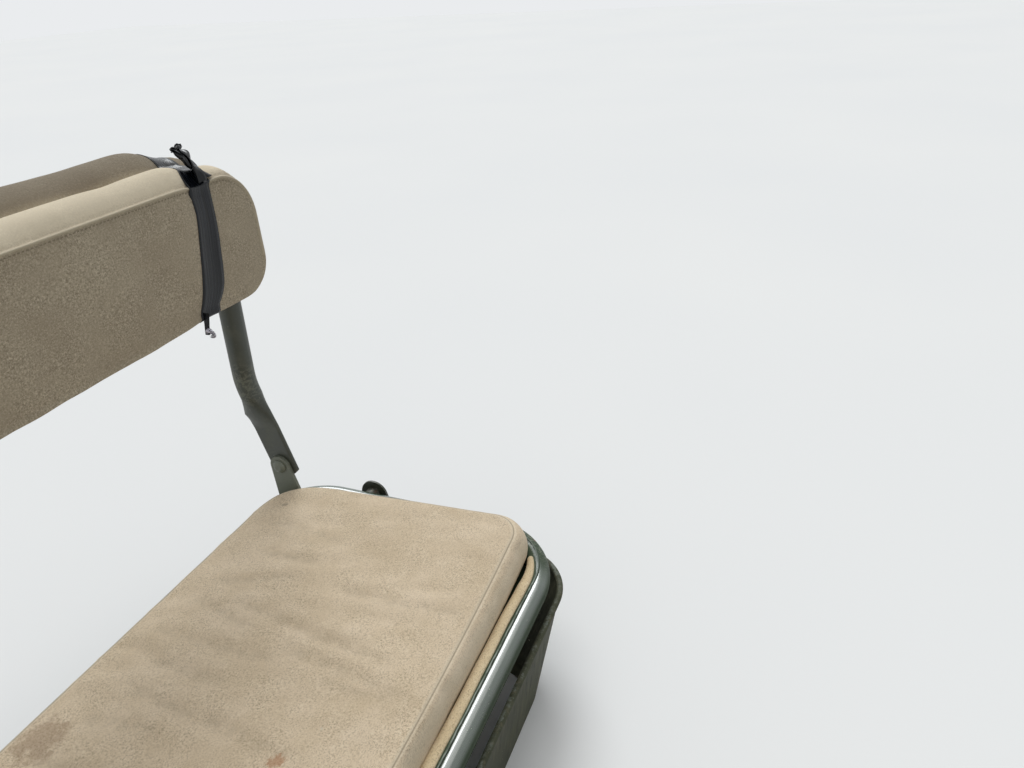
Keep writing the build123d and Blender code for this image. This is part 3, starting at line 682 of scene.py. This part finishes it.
cushion, held, seam = seat_cover()
fill_cover(cushion, held, cap=0.0026)
rest = get_rows(cushion.data.vertices, "co")
outward = get_rows(cushion.data.vertex_normals, "vector")
free = np.clip(seam / 0.012, 0, 1) * (rest[:, 2] > 0.16)
folds = rucks(rest[:, 0], rest[:, 1],
              [(0.00100, 0.060, 0.12, 5), (0.00060, 0.150, 0.9, 3), (0.00050, 0.030, 0.20, 5)], 11)
seat_creases = [
    (0.0016, 0.0070, [(0.082, 0.071), (0.074, 0.023), (0.073, -0.040)]),
    (0.0015, 0.0070, [(0.041, 0.035), (0.033, -0.016), (0.031, -0.075)]),
    (0.0011, 0.0060, [(0.157, 0.042), (0.143, -0.021)]),
    (0.0015, 0.0065, [(0.110, 0.052), (0.109, -0.010), (0.112, -0.065)]),
    (0.0012, 0.0065, [(0.128, -0.099), (0.123, -0.156), (0.116, -0.227)]),
    (0.0016, 0.0070, [(0.168, -0.001), (0.160, -0.066), (0.152, -0.137), (0.147, -0.184)]),
    (0.0012, 0.0070, [(0.221, -0.108), (0.222, -0.165), (0.231, -0.228)]),
    (0.0010, 0.0065, [(0.192, 0.039), (0.219, -0.024)]),
    (0.0009, 0.0065, [(0.246, 0.017), (0.249, -0.034)]),
    (0.0010, 0.0065, [(0.106, -0.158), (0.107, -0.205)]),
    (0.0012, 0.0065, [(-0.002, 0.034), (0.007, -0.017)]),
    (0.0011, 0.0070, [(0.035, -0.072), (0.023, -0.157)]),
    (0.0012, 0.0070, [(-0.052, 0.040), (-0.046, -0.030), (-0.050, -0.085)]),
    (0.0010, 0.0070, [(-0.105, 0.060), (-0.112, 0.005), (-0.104, -0.045)]),
    (0.0010, 0.0070, [(-0.158, 0.020), (-0.165, -0.050), (-0.160, -0.120)]),
    (0.0009, 0.0070, [(0.300, 0.040), (0.292, -0.030)])]
sat_in, valley = creases(rest[:, 0], rest[:, 1], seat_creases)
pucker = rucks(rest[:, 0] + rest[:, 1], rest[:, 1] - rest[:, 0], [(0.00035, 0.016, 0.0, 3)], 5)
near_seam = np.exp(-((seam - 0.005) / 0.004) ** 2) * (rest[:, 2] > 0.16)
set_points(cushion, rest + outward * ((folds + sat_in) * free + pucker * near_seam)[:, None])
keep_values(cushion, "crease", valley * free)
subdivide_once(cushion)

seat_canvas, tree, shader, place, colour = canvas(
    "seat_canvas", card(229, 209, 181), card(211, 190, 159), card(142, 124, 99), card(140, 122, 99),
    card(236, 224, 200), flank_strength=0.45, needle_strength=0.62)
# Darker in the creases: painted shade, with some soil.
crease = lay(tree, "Attribute", out="Fac", attribute_name="crease")
crease_shade_and_soil = times(tree, crease, ease(tree, clouds(tree, place, 70.0, 4.0, 0.7), 0.36, 0.60, 0.05, 0.28))
colour = coat(tree, crease_shade_and_soil, colour, card(152, 136, 112))
height = axis(tree, place, "Z")
# Lighter on the upper half of the boxing, where it bulges: painted light.
boxing_painted_light = times(tree, ease(tree, height, 0.150, 0.158), ease(tree, height, 0.180, 0.1855, 0.38, 0.0))
colour = coat(tree, boxing_painted_light, colour, card(252, 236, 206))


def stain(tree, place, colour, centre, size, ragged, tint, strength):
    """A stain round a point: full inside 0.45 of its size and gone past its size, with the distance made
    ragged by noise whose spots are about ragged metres across."""
    noise = sums(tree, "SUBTRACT", clouds(tree, place, 1.2 / ragged, 4.0, 0.7), 0.5)
    far = plus(tree, distance(tree, place, centre), times(tree, noise, size * 2.2))
    return coat(tree, ease(tree, far, size * 0.45, size, strength, 0.0), colour, tint)


for centre, size, ragged, tint, strength in (
        ((-0.034, 0.066, 0.189), 0.030, 0.012, card(142, 110, 80), 0.45),
        ((0.019, -0.157, 0.190), 0.010, 0.006, card(172, 116, 74), 0.60),
        ((0.171, -0.153, 0.190), 0.0022, 0.002, card(214, 204, 184), 0.9),
        ((0.099, -0.063, 0.190), 0.0020, 0.002, card(214, 204, 184), 0.9),
        ((0.061, -0.1755, 0.190), 0.0024, 0.002, card(214, 204, 184), 0.9),
        ((0.333, 0.062, 0.190), 0.0060, 0.004, card(110, 98, 82), 0.5)):
    colour = stain(tree, place, colour, centre, size, ragged, tint, strength)
fill(tree, shader, {"Base Color": colour})
cushion.data.materials.append(seat_canvas)
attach(cushion, "seat")
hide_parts("seat_cushion")


# Front roll. A strip of the same canvas rolled on itself and tucked between cushion and front tube, left
# paler and yellower where it was never sat on. It thins towards its ends, which climb out of the gap on to
# the lip's shoulder.

def front_roll_strip():
    """A section carried beside the front tube and into its bends: it lies up over the lip, fills the gap to
    the cushion, and shrinks towards both ends. The last millimetres close as the square root of the way
    left."""
    section = np.array([(-7.2, 2.4), (-6.2, 4.6), (-2.8, 6.1), (1.4, 6.0), (5.2, 4.5), (7.6, 1.0),
                        (8.0, -4.5), (5.6, -8.2), (2.8, -5.4), (-0.6, -1.8), (-4.2, 1.0)]) / 1000
    straight, reach, tip = ring_half - ring_bends[0], np.radians(33.5), 0.005
    bend_run = (ring_bends[0] - 0.0140) * reach
    along = np.concatenate([np.linspace(0, straight, 120)[:-1],
                            straight + np.linspace(0, bend_run - tip, 26),
                            straight + bend_run - tip * np.array([0.75, 0.5, 0.3, 0.14, 0.05, 0.008])])
    along = np.concatenate([-along[:0:-1], along])
    side, far = np.sign(along), np.abs(along)
    share = np.clip((far - straight) / bend_run, 0, 1)
    turn = share * reach
    left = np.clip((straight + bend_run - far) / tip, 0, 1)
    size = (1 - 0.52 * share ** 1.3) * np.sqrt(1 - (1 - left) ** 2)
    inset = 0.0140 - 0.0050 * share
    radius = ring_bends[0] - inset
    cx = side * (np.minimum(far, straight) + radius * np.sin(turn))
    cy = ring_front + ring_bends[0] - radius * np.cos(turn)
    cy = cy + 0.0004 * np.sin(along * 31) + 0.0002 * np.sin(along * 77)
    cz = 0.1535 + 0.0022 * share + 0.0003 * np.sin(along * 23 + 2)
    puff = 1 + 0.03 * np.sin(along * 47) + 0.025 * np.sin(along * 128 + 2)
    dy = section[None, :, 0] * size[:, None]
    dz = section[None, :, 1] * (size * puff)[:, None]
    points = np.stack([cx[:, None] - side[:, None] * np.sin(turn)[:, None] * dy,
                       cy[:, None] + np.cos(turn)[:, None] * dy, cz[:, None] + dz], -1)
    count = len(section)
    faces = wrap_grid(len(along), count, close_columns=True)
    girth = 0.050
    strip = put_mesh("front_roll_cover", points, faces, grid_uv(along, np.linspace(0, girth, count + 1)))
    face_outwards(strip, cap_ends=True)
    return strip


roll = front_roll_strip()
keep_values(roll, "seam", np.full(len(roll.data.vertices), far_from_seam))
subdivide_once(roll)
roll_canvas = canvas("roll_canvas", card(240, 218, 178), card(222, 199, 158), card(160, 138, 104),
                     card(112, 94, 74), card(224, 208, 180))[0]
roll.data.materials.append(roll_canvas)
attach(roll, "seat")
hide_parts("front_roll")


# Backrest pad. A canvas cover sewn as a box round foam and pulled over the hoop: front and back panels,
# boxing between them, and two rolls with a valley along the top. Its canvas is coloured darker than the
# seat's, painted shade for the front face; the front roll's top is lightened with painted light and the
# rear roll's top darkened with painted shade. A pale welt stands up in the front seam with a row of
# stitches below it; tape has drawn the cover in near one end.

pad_half, pad_foot, pad_top = 0.4015, 0.4695, 0.6095
pad_face, pad_back = 0.0690, 0.1630
pad_columns = 113


def tape_line(y, z):
    """The tape's middle: it leans outwards up the front face, goes on leaning over the two rolls, and comes
    back down the rear face."""
    front = np.interp(z, [0.462, 0.480, 0.488, 0.499, 0.518, 0.544, 0.564, 0.580, 0.597, 0.614],
                      [0.2950, 0.2990, 0.3040, 0.3088, 0.3132, 0.3185, 0.3220, 0.3242, 0.3250, 0.3262])
    over = np.clip((y - pad_face) / 0.008, 0, 1)
    high = np.clip((z - 0.600) / 0.015, 0, 1)
    rear = np.interp(z, [0.462, 0.600], [0.2960, 0.3385])
    top = np.interp(y, [0.069, 0.080, 0.100, 0.120, 0.160], [0.3270, 0.3325, 0.3380, 0.3400, 0.3385])
    return front * (1 - over) + (rear * (1 - high) + top * high) * over


def roll_height(s):
    """Height of the two rolls above the seam's level, across the top: each a sine to the power 0.62, with
    the valley between them at four tenths of the way back."""
    front = 0.0165 * np.sin(np.pi * np.clip(s / 0.40, 0, 1)) ** 0.62
    rear = 0.0300 * np.sin(np.pi * np.clip((s - 0.40) / 0.60, 0, 1)) ** 0.62
    base = 0.0035 * np.clip(s / 0.10, 0, 1) * np.clip((1 - s) / 0.10, 0, 1)
    return base + front + rear


def pad_cover():
    """Panels: rounded oblongs seen from the front, crowned by the product of a sixth power across and a
    fourth power up. Boxing: the seam's outline moved out along its own direction, above by the rolls'
    height, at the ends and below by a half sine. Each row of the welt is (distance out, y, how far the welt
    stands forwards)."""
    inset = 0.0085
    level, half, ends = panel_rows(pad_foot + inset, pad_top - inset, 0.0300, 0.0435, pad_half - inset,
                                   pad_half - inset, 8, 10)
    a = np.linspace(-1, 1, pad_columns)
    x = a[None, :] * half[:, None]
    z = np.broadcast_to(level[:, None], x.shape)
    share = (z - pad_foot) / (pad_top - pad_foot)
    crown = np.clip(1 - (x / 0.410) ** 6, 0, 1) * np.clip(1 - (2 * share - 1) ** 4, 0, 1)
    face = np.stack([x, 0.0675 - 0.0010 * crown, z], -1)
    back = np.stack([x, 0.1645 + 0.0010 * crown, z], -1)
    loop = edge_loop(*x.shape)
    edge = np.stack([x, z], -1).reshape(-1, 2)[loop]
    out = edge_outward(ends, pad_columns)
    s = np.array([0.0, 0.02, 0.06, 0.12, 0.19, 0.26, 0.32, 0.365, 0.39, 0.40, 0.41, 0.44, 0.50, 0.58, 0.66,
                  0.74, 0.82, 0.89, 0.95, 0.985, 1.0])
    y = pad_face + (pad_back - pad_face) * s
    upward = np.clip(out[:, 1], 0, 1)
    downward = np.clip(-out[:, 1], 0, 1)
    toward_end = np.clip((np.abs(edge[:, 0]) - 0.295) / 0.10, 0, 1)
    fall_off = 1 - 0.62 * toward_end ** 2 * (3 - 2 * toward_end)
    top = roll_height(s)[:, None] * (upward ** 1.5 * fall_off)[None, :]
    round_off = np.sin(np.pi * s) ** 0.6
    sides = (0.0012 * (1 - upward) + 0.0053 * downward)[None, :] * round_off[:, None]
    away = inset + top + sides
    welt = np.array([(0.0036, 0.0676, 0.0), (0.0061, 0.0674, 0.0), (0.0069, 0.0668, 0.0012),
                     (0.0083, 0.0668, 0.0012), (0.0091, 0.0674, 0.0)])
    welt_ring = edge[None] + out[None] * welt[:, 0, None, None]
    welt_y = welt[:, 1, None] - welt[:, 2, None] * (1 - downward)[None, :]
    welt_rows = np.stack([welt_ring[..., 0], welt_y, welt_ring[..., 1]], -1)
    ring = edge[None] + out[None] * away[..., None]
    rows = np.stack([ring[..., 0], np.broadcast_to(y[:, None], ring.shape[:2]), ring[..., 1]], -1)
    hem_ring = edge[None] + out[None] * np.array([0.0080, 0.0045])[:, None, None]
    hem_rows = np.stack([hem_ring[..., 0], np.full(hem_ring.shape[:2], 0.1650), hem_ring[..., 1]], -1)
    band = np.concatenate([welt_rows, rows, hem_rows])
    drop = np.concatenate([[0], welt[:, 0], 0.0105 + 0.110 * s, [0.119, 0.122, 0.126]])
    welt_seam, back_seam = 0.0076, 0.1175
    nearest = np.minimum(np.clip(np.abs(drop - welt_seam) - 0.0007, 0, 1), np.abs(drop - back_seam))
    seam = np.concatenate([panel_values(x.size, loop, far_from_seam, nearest[0]),
                           (nearest[1:-1, None] + 0.012 * downward[None, :]).ravel(),
                           panel_values(x.size, loop, far_from_seam, nearest[-1])])
    cover = sewn_box("backrest_cover", face, band, back, np.stack([x, z], -1), edge_run(edge), drop, seam)
    held_boxing = np.where(s < 0.03, 0.9, 0.0) + 0.7 * np.exp(-((s - 0.4) / 0.02) ** 2)
    held_boxing = held_boxing + np.where(s > 0.97, 0.9, 0.0)
    held_rows = np.clip(np.concatenate([[0.6, 0.9, 1.0, 1.0, 1.0], held_boxing, [1.0, 0.8]]), 0, 1)
    held_face = panel_values(x.size, loop, 0.0, 0.4)
    held = np.concatenate([held_face, np.repeat(held_rows, len(loop)), held_face])
    return cover, held, seam


pad, held, seam = pad_cover()
fill_cover(pad, held, cap=0.0024)
rest = get_rows(pad.data.vertices, "co")
outward = get_rows(pad.data.vertex_normals, "vector")
folds = rucks(rest[:, 0], rest[:, 2] + rest[:, 1], [(0.00050, 0.110, 0.1, 3), (0.00030, 0.050, 0.4, 4)], 23)
pucker = rucks(rest[:, 0], rest[:, 2], [(0.00040, 0.021, 0.0, 3)], 8)
near_seam = np.exp(-((seam - 0.006) / 0.005) ** 2)
rest = rest + outward * (folds * np.clip(seam / 0.012, 0, 1) + pucker * near_seam)[:, None]
middle_y, middle_z = 0.116, 0.545
drawn = np.exp(-((rest[:, 0] - tape_line(rest[:, 1], rest[:, 2])) / 0.020) ** 2)
toward = np.stack([0 * drawn, middle_y - rest[:, 1], middle_z - rest[:, 2]], -1)
toward /= np.linalg.norm(toward, axis=1, keepdims=True)
set_points(pad, rest + toward * (0.0030 * drawn * (1 + 0.8 * (rest[:, 2] > 0.60)))[:, None])
subdivide_once(pad)

# The same canvas as the seat's, coloured darker: painted shade for the pad's front face.
back_canvas, tree, shader, place, colour = canvas(
    "back_canvas", card(193, 179, 154), card(177, 162, 138), card(126, 112, 92), card(214, 202, 178),
    card(200, 188, 162), flank_strength=0.25, needle_strength=0.75)
cloth_map = lay(tree, "UVMap", uv_map="cloth")
stitch_pitch, stitch_drop = 0.0042, 0.0035
beat = sums(tree, "FRACT", sums(tree, "DIVIDE", axis(tree, cloth_map, "X"), stitch_pitch))
dash = ease(tree, sums(tree, "ABSOLUTE", sums(tree, "SUBTRACT", beat, 0.5)), 0.26, 0.34, 1.0, 0.0)
off_row = sums(tree, "ABSOLUTE", sums(tree, "SUBTRACT", axis(tree, cloth_map, "Y"), stitch_drop))
row = ease(tree, off_row, 0.0005, 0.0009, 1.0, 0.0)
height = axis(tree, place, "Z")
above_foot = ease(tree, height, 0.486, 0.496)
before_end = ease(tree, sums(tree, "ABSOLUTE", axis(tree, place, "X")), 0.372, 0.394, 0.45, 0.08)
colour = coat(tree, times(tree, dash, row, above_foot, before_end), colour, card(96, 84, 68))
high = ease(tree, height, 0.606, 0.616)
rear = ease(tree, axis(tree, place, "Y"), 0.104, 0.114)
# Lighter on the front roll's top: painted light.
front_roll_painted_light = times(tree, high, sums(tree, "SUBTRACT", 1.0, rear), 0.72)
colour = coat(tree, front_roll_painted_light, colour, card(252, 237, 209))
# Darker on the rear roll's top: painted shade.
colour = coat(tree, times(tree, high, rear, 0.66), colour, card(112, 100, 82))
fill(tree, shader, {"Base Color": colour})
pad.data.materials.append(back_canvas)
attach(pad, "back")
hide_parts("back_cushion")


# Tape. One turn of black plastic tape holds the cover together near its left end: it lies tight on the
# canvas, its free end is twisted up and stands off the rolls, and a thin torn tail, crumpled at its end,
# hangs below the pad; the crumpled end's shine is painted as near-white patches, a painted glint.

tape_width = 0.028


def tape_turn():
    """A flat strip carried once round the pad: at each step round, the strip's middle follows tape_line and
    the strip is as wide as the tape. It starts a little off the cover and is then laid on to it."""
    foot, y_front, y_back = pad_foot - 0.012, pad_face - 0.006, pad_back + 0.006
    corners = np.array([(y_front, foot + 0.01), (y_front, pad_top), (0.078, 0.629), (0.090, 0.634),
                        (0.104, 0.628), (0.112, 0.634), (0.128, 0.648), (0.142, 0.650), (0.156, 0.640),
                        (y_back, pad_top), (y_back, foot + 0.012), (y_back - 0.012, foot),
                        (y_front + 0.012, foot)])
    closed = np.concatenate([corners, corners[:1]])
    run = np.concatenate([[0], np.cumsum(np.linalg.norm(np.diff(closed, axis=0), axis=1))])
    at = np.linspace(0, run[-1], 180, endpoint=False)
    y, z = np.interp(at, run, closed[:, 0]), np.interp(at, run, closed[:, 1])
    w = np.linspace(-0.5, 0.5, 9)
    broad = np.interp(z, [0.462, 0.480, 0.488, 0.499, 0.518, 0.544, 0.564, 0.580, 0.609],
                      [0.0280, 0.0295, 0.0330, 0.0345, 0.0336, 0.0310, 0.0290, 0.0275, 0.0290])
    x = tape_line(y, z)[:, None] + w[None, :] * broad[:, None]
    sag = 0.0004 * np.sin(at * 90)[:, None] * np.sin(w * 9 + 1)[None, :]
    points = np.stack([x, np.broadcast_to(y[:, None], x.shape), z[:, None] + sag], -1)
    faces = wrap_grid(len(at), len(w), close_rows=True)
    return put_mesh("tape_turn", points, faces, grid_uv(np.append(at, run[-1]), w * tape_width))


def lay_on(piece, ground, gap, thick):
    """Lays a strip on another piece, gap above it, and gives it its thickness."""
    wrap = piece.modifiers.new("laid", "SHRINKWRAP")
    wrap.target = ground
    wrap.wrap_method = "NEAREST_SURFACEPOINT"
    wrap.wrap_mode = "OUTSIDE_SURFACE"
    wrap.offset = gap
    laid = bpy.data.meshes.new_from_object(piece.evaluated_get(bpy.context.evaluated_depsgraph_get()))
    piece.modifiers.clear()
    piece.data = laid
    body = piece.modifiers.new("thickness", "SOLIDIFY")
    body.thickness = thick
    body.offset = 1.0


tape = tape_turn()
lay_on(tape, pad, gap=0.0003, thick=0.0004)

black_tape, tree, shader, place = new_finish("black_tape")
cloth_map = lay(tree, "UVMap", uv_map="cloth")
streaks = clouds(tree, stretch(tree, cloth_map, 12.0, 420.0, 1.0), 1.0, 4.0, 0.6)
dust = ease(tree, clouds(tree, place, 60.0, 4.0, 0.7), 0.45, 0.75)
# Lengthwise streaks, lighter and bluer: partly the tape's own streaks and partly painted highlight.
colour = coat(tree, ease(tree, streaks, 0.4, 0.7), card(6, 8, 12), card(26, 30, 37))
colour = coat(tree, times(tree, dust, 0.04), colour, card(80, 80, 80))
bump = lay(tree, "Bump", {"Height": streaks, "Strength": 0.7, "Distance": 0.0006})
fill(tree, shader, {"Base Color": colour, "Roughness": ease(tree, streaks, 0.3, 0.7, 0.16, 0.36),
                    "Normal": bump, "Specular IOR Level": 0.32})


def ribbon(name, line, width, turn, crush, thick=0.0006):
    """A crumpled strip along a smooth line through the given points: a polynomial in each coordinate. Its
    width and the angle of its width direction about the line, in degrees, change evenly from one given
    value to the next, and it is lifted by ridges of height crush, sums of sines along it and across it."""
    line = np.array(line, float)
    knots = np.linspace(0, 1, len(line))
    t = np.linspace(0, 1, 60)
    path = np.stack([np.polyval(np.polyfit(knots, line[:, i], len(line) - 1), t) for i in range(3)], 1)
    ahead = np.gradient(path, axis=0)
    ahead /= np.linalg.norm(ahead, axis=1, keepdims=True)
    side = np.cross(ahead, [0.0, 1.0, 0.0])
    side /= np.linalg.norm(side, axis=1, keepdims=True)
    other = np.cross(ahead, side)
    angle = np.interp(t, np.linspace(0, 1, len(turn)), np.radians(turn))
    wide = np.interp(t, np.linspace(0, 1, len(width)), width)
    w = np.linspace(-0.5, 0.5, 13)
    lift = crush * np.sin(w * 15)[None, :] * np.sin(t * 6 + 1)[:, None]
    lift = lift + 0.5 * crush * np.sin(w[None, :] * 9 + t[:, None] * 8)
    lift = lift * np.clip(wide / 0.006, 0, 1)[:, None]
    along_w = w[None, :] * wide[:, None]
    c, s = np.cos(angle)[:, None, None], np.sin(angle)[:, None, None]
    points = path[:, None] + (side[:, None] * c + other[:, None] * s) * along_w[..., None]
    points = points + (-side[:, None] * s + other[:, None] * c) * lift[..., None]
    piece = put_mesh(name, points, wrap_grid(len(t), len(w)), grid_uv(t * 0.07, w * tape_width))
    body = piece.modifiers.new("thickness", "SOLIDIFY")
    body.thickness = thick
    body.offset = 0.0
    return piece


twist = ribbon(
    "tape_twisted_end",
    [(0.3350, 0.0665, 0.6100), (0.3350, 0.0725, 0.6200), (0.3362, 0.0820, 0.6285), (0.3368, 0.0895, 0.6345),
     (0.3360, 0.0950, 0.6400)], (0.0290, 0.0280, 0.0250, 0.0200, 0.0130), (12, 26, 42, 58, 76), 0.0026)
strand = ribbon(
    "tape_twisted_strand",
    [(0.3300, 0.0735, 0.6215), (0.3310, 0.0815, 0.6275), (0.3320, 0.0885, 0.6325), (0.3325, 0.0945, 0.6370),
     (0.3320, 0.0990, 0.6415)], (0.015, 0.014, 0.012, 0.010, 0.006), (30, 45, 60, 70, 50), 0.0020)
tip = ribbon(
    "tape_twisted_tip",
    [(0.3280, 0.0955, 0.6405), (0.3330, 0.0958, 0.6400), (0.3385, 0.0962, 0.6415), (0.3415, 0.0968, 0.6440)],
    (0.005, 0.008, 0.009, 0.004), (0, 50, 110, 170), 0.0016)
tail = ribbon(
    "tape_tail",
    [(0.2868, 0.0652, 0.4790), (0.2862, 0.0652, 0.4700), (0.2848, 0.0655, 0.4620), (0.2838, 0.0660, 0.4545)],
    (0.011, 0.0085, 0.0065, 0.0055, 0.0050), (90, 90, 84, 70), 0.0002, 0.0003)
crumple = ribbon(
    "tape_tail_crumple",
    [(0.2835, 0.0655, 0.4610), (0.2852, 0.0640, 0.4570), (0.2885, 0.0650, 0.4535), (0.2905, 0.0670, 0.4500)],
    (0.006, 0.0100, 0.0110, 0.0095, 0.005), (90, 60, 120, 200), 0.0018, 0.0003)

# Near-white patches on the crumpled end: a painted glint for its shine.
tape_end_painted_glint, tree, shader, place = new_finish("tape_end_painted_glint")
dull = ease(tree, clouds(tree, place, 420.0, 3.0, 0.6), 0.40, 0.52)
fill(tree, shader, {"Base Color": coat(tree, dull, card(70, 70, 82), card(224, 222, 236)), "Roughness": 0.25})
for piece in (tape, twist, strand, tip, tail, crumple):
    piece.data.materials.clear()
    piece.data.materials.append(tape_end_painted_glint if piece is crumple else black_tape)
    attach(piece, "back")
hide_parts("tape_band")


# Floor, lamps and camera. A plain pale floor under the stands, one wide soft lamp overhead and one like a
# window on the far side; the camera stands where the photograph was taken.

floor = put_mesh("floor", [(-15, -15, 0), (15, -15, 0), (15, 15, 0), (-15, 15, 0)], [(0, 1, 2, 3)])


def straight_rays(tree):
    """1 for the rays that look or mirror straight at a surface, 0 for those that only carry its light."""
    rays = tree.nodes.new("ShaderNodeLightPath").outputs
    looks = sums(tree, "MAXIMUM", rays["Is Camera Ray"], rays["Is Glossy Ray"])
    return sums(tree, "MAXIMUM", looks, rays["Is Transmission Ray"])


floor_finish, tree, shader, place = new_finish("floor_finish")
pale = coat(tree, clouds(tree, place, 0.8, 2.0, 0.5), card(228, 229, 230), card(234, 234, 233))
fill(tree, shader, {"Base Color": coat(tree, straight_rays(tree), card(158, 158, 155), pale),
                    "Roughness": 0.95, "Specular IOR Level": 0.1})
floor.data.materials.append(floor_finish)
floor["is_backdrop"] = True

world = bpy.data.worlds.new("studio")
bpy.context.scene.world = world
world.use_nodes = True
tree = world.node_tree
tree.nodes.clear()
soft = lay(tree, "Background", {"Color": (0.95, 0.98, 1.0, 1.0), "Strength": 0.50})
plain = lay(tree, "Background", {"Color": card(234, 236, 238), "Strength": 1.0})
surface = lay(tree, "MixShader", {0: straight_rays(tree), 1: soft, 2: plain})
tree.links.new(surface, tree.nodes.new("ShaderNodeOutputWorld").inputs["Surface"])


def lamp(name, kind, place, towards, power, tint, **settings):
    """A soft lamp at a place, turned towards a point."""
    light = bpy.data.lights.new(name, kind)
    light.energy = power
    light.color = tint
    for key, value in settings.items():
        setattr(light, key, value)
    holder = bpy.data.objects.new(name, light)
    bpy.context.scene.collection.objects.link(holder)
    back = np.array(place, float) - np.array(towards, float)
    back /= np.linalg.norm(back)
    side = np.cross([0.0, 1.0, 0.001], back)
    side /= np.linalg.norm(side)
    turn = np.stack([side, np.cross(back, side), back], 1)
    matrix = Matrix(turn.tolist()).to_4x4()
    matrix.translation = place
    holder.matrix_world = matrix


lamp("overhead", "SUN", (0.9, 0.3, 3.0), (0.0, 0.0, 0.0), 0.85, (1.0, 0.985, 0.96), angle=1.0)
lamp("window", "SUN", (0.627, 0.38, 0.68), (0.0, 0.0, 0.0), 1.25, (0.96, 0.99, 1.0), angle=0.48)

camera = bpy.data.objects.new("camera", bpy.data.cameras.new("camera"))
bpy.context.scene.collection.objects.link(camera)
right, up, back = ((0.36270754, -0.93046505, -0.05174972), (0.46054643, 0.13069748, 0.8779608),
                   (-0.81014828, -0.34227615, 0.47592731))
stand = Matrix((right, up, back)).transposed().to_4x4()
stand.translation = (-0.299, -0.534, 0.789)
camera.matrix_world = stand
camera.data.lens = 27.14
camera.data.sensor_width = 36
bpy.context.scene.camera = camera
bpy.context.scene.view_settings.view_transform = "Standard"

low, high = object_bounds()
